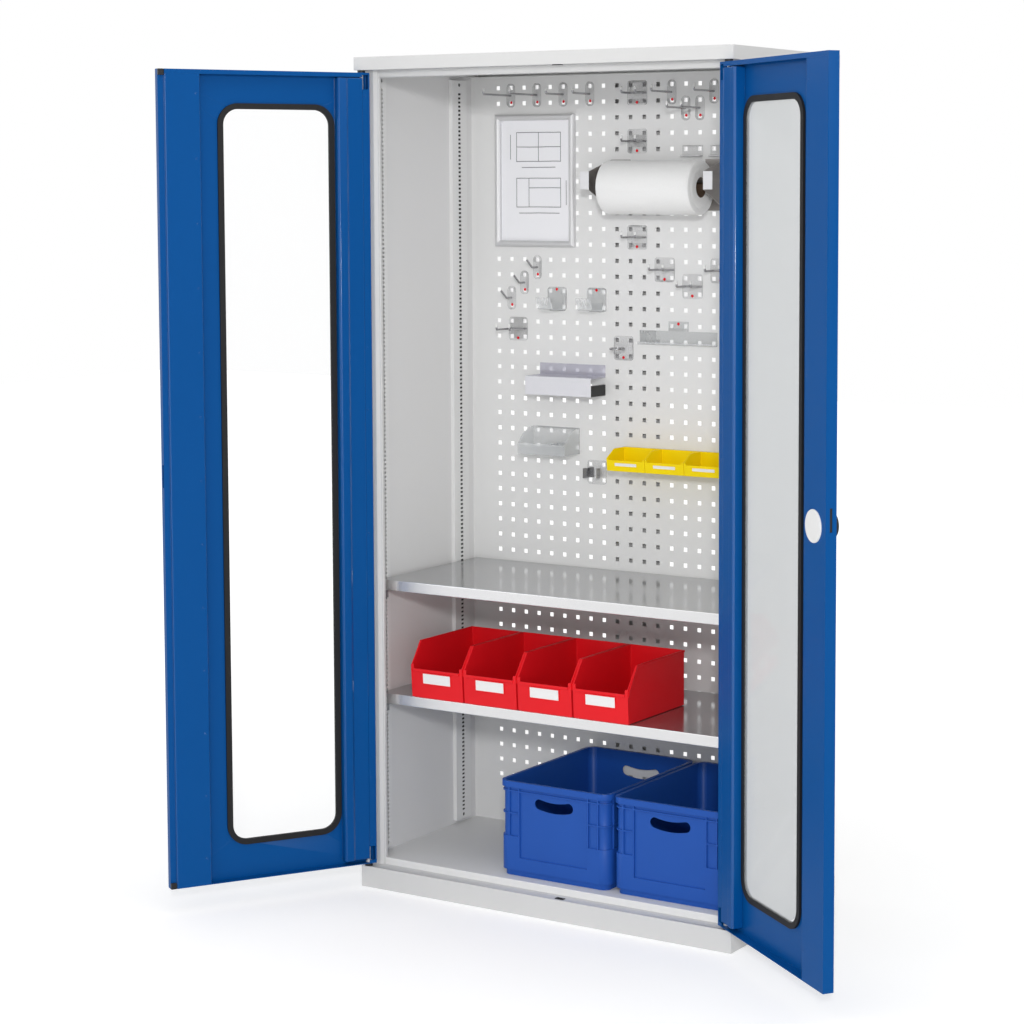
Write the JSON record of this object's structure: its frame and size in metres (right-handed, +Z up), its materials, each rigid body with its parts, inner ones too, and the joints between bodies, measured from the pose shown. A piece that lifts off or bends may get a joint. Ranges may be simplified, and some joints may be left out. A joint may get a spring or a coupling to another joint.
{
  "type": "tool cabinet with doors",
  "caption": "Tall steel tool cabinet with two windowed hinged doors, a perforated back panel with tool holders, shelves, storage bins and stacking boxes.",
  "frame": {"origin": "on the floor, under the middle of the carcass's 1000 by 500 mm footprint", "axes": "+X to the right seen from the front, +Y from the front to the back, +Z up"},
  "size_m": [1.6286, 0.9085, 1.95],
  "materials": {
    "carcass_grey": "fine-textured light grey powder coat",
    "door_blue": "smooth gentian blue powder coat, semi gloss",
    "galvanised": "zinc plated sheet with soft reflections",
    "bright_steel": "bright plated steel",
    "black_plastic": "moulded black plastic",
    "white_plastic": "moulded white plastic",
    "rubber_black": "extruded black rubber",
    "clear_pane": "clear acrylic sheet",
    "red_plastic": "moulded red plastic",
    "blue_plastic": "moulded blue plastic",
    "yellow_plastic": "moulded yellow plastic",
    "paper_white": "soft white paper",
    "frame_silver": "satin anodised frame",
    "clear_plastic": "clear moulded plastic"
  },
  "bodies": {
    "cabinet": {"side_left": "carcass_grey", "side_right": "carcass_grey", "top_cap": "carcass_grey", "plinth_frame": "carcass_grey", "header_rail": "carcass_grey", "floor_tray": "carcass_grey", "perforated_panel": "carcass_grey", "panel_stiffener": "carcass_grey", "rails_front": "carcass_grey", "rails_rear": "carcass_grey", "shelf_upper": "galvanised", "shelf_lower": "galvanised", "shelf_clips": "galvanised", "hinge_bushes": "black_plastic", "rod_keeps": "black_plastic", "bin_rail": "galvanised", "straight_hooks": "galvanised", "angled_hooks": "galvanised", "double_hooks": "galvanised", "small_brackets": "galvanised", "clamp_holders": "galvanised", "ring_hook": "galvanised", "spring_clip": "galvanised", "tool_rail": "galvanised", "document_frame": "frame_silver", "document_sheet": "paper_white", "roll_holder": "galvanised", "marker_tray": "frame_silver", "bit_rack": "clear_plastic"},
    "door_left": {"door_left_pan": "door_blue", "door_left_hinge_profile": "door_blue", "door_left_lock_profile": "door_blue", "door_left_pane": "clear_pane", "door_left_gasket": "rubber_black", "door_left_hinge_pins": "bright_steel", "door_left_strip_caps": "black_plastic"},
    "door_right": {"door_right_pan": "door_blue", "door_right_hinge_profile": "door_blue", "door_right_lock_profile": "door_blue", "door_right_pane": "clear_pane", "door_right_gasket": "rubber_black", "door_right_hinge_pins": "bright_steel", "lock_case": "galvanised", "lock_cover": "white_plastic", "lock_rod_guides": "black_plastic"},
    "knob": {"lock_knob": "black_plastic"},
    "rod_upper": {"lock_rod_upper": "galvanised"},
    "rod_lower": {"lock_rod_lower": "galvanised"},
    "bolt": {"latch_bolt": "galvanised"},
    "roll": {"paper_roll": "paper_white"},
    "red_bin_1": {"red_bin_1": "red_plastic"},
    "red_bin_2": {"red_bin_2": "red_plastic"},
    "red_bin_3": {"red_bin_3": "red_plastic"},
    "red_bin_4": {"red_bin_4": "red_plastic"},
    "blue_box_1": {"blue_box_1": "blue_plastic"},
    "blue_box_2": {"blue_box_2": "blue_plastic"},
    "yellow_bin_1": {"yellow_bin_1": "yellow_plastic"},
    "yellow_bin_2": {"yellow_bin_2": "yellow_plastic"},
    "yellow_bin_3": {"yellow_bin_3": "yellow_plastic"}
  },
  "joints": [
    {"name": "left_door_hinge", "type": "hinge", "parent": "cabinet", "child": "door_left", "pos_m": [-0.4845, -0.241, 0.05], "axis": [0, 0, -1], "range_deg": [-122, 43]},
    {"name": "right_door_hinge", "type": "hinge", "parent": "cabinet", "child": "door_right", "pos_m": [0.4845, -0.241, 0.05], "axis": [0, 0, 1], "range_deg": [-144, 21]},
    {"name": "knob_turn", "type": "hinge", "parent": "door_right", "child": "knob", "pos_m": [0.83929, -0.48764, 0.987], "axis": [0.5878, 0.809, 0], "range_deg": [0, 90.05]},
    {"name": "upper_rod_slide", "type": "slide", "parent": "door_right", "child": "rod_upper", "axis": [0, 0, 1], "range_m": [0, 0.015]},
    {"name": "lower_rod_slide", "type": "slide", "parent": "door_right", "child": "rod_lower", "axis": [0, 0, -1], "range_m": [0, 0.01501]},
    {"name": "latch_bolt_slide", "type": "slide", "parent": "door_right", "child": "bolt", "axis": [0.809, -0.5878, 0], "range_m": [0, 0.01001]},
    {"name": "paper_roll_spin", "type": "hinge", "parent": "cabinet", "child": "roll", "pos_m": [0.07, 0.151, 1.6503], "axis": [1, 0, 0], "continuous": true},
    {"name": "red_bin_1_pull", "type": "slide", "parent": "cabinet", "child": "red_bin_1", "axis": [0, -1, 0], "range_m": [0, 0.2]},
    {"name": "red_bin_2_pull", "type": "slide", "parent": "cabinet", "child": "red_bin_2", "axis": [0, -1, 0], "range_m": [0, 0.2]},
    {"name": "red_bin_3_pull", "type": "slide", "parent": "cabinet", "child": "red_bin_3", "axis": [0, -1, 0], "range_m": [0, 0.2]},
    {"name": "red_bin_4_pull", "type": "slide", "parent": "cabinet", "child": "red_bin_4", "axis": [0, -1, 0], "range_m": [0, 0.2]},
    {"name": "blue_box_1_lift_out", "type": "slide", "parent": "cabinet", "child": "blue_box_1", "axis": [0, -0.8988, 0.4384], "range_m": [0, 0.3]},
    {"name": "blue_box_2_lift_out", "type": "slide", "parent": "cabinet", "child": "blue_box_2", "axis": [0, -0.8988, 0.4384], "range_m": [0, 0.3]},
    {"name": "yellow_bin_1_lift", "type": "slide", "parent": "cabinet", "child": "yellow_bin_1", "axis": [0, 0, 1], "range_m": [0, 0.012]},
    {"name": "yellow_bin_2_lift", "type": "slide", "parent": "cabinet", "child": "yellow_bin_2", "axis": [0, 0, 1], "range_m": [0, 0.012]},
    {"name": "yellow_bin_3_lift", "type": "slide", "parent": "cabinet", "child": "yellow_bin_3", "axis": [0, 0, 1], "range_m": [0, 0.012]}
  ],
  "couplings": [
    {"joint": "knob_turn", "follows": "upper_rod_slide", "rad_per_m": 104.72},
    {"joint": "lower_rod_slide", "follows": "upper_rod_slide", "ratio": 1},
    {"joint": "latch_bolt_slide", "follows": "upper_rod_slide", "ratio": 0.66667}
  ]
}
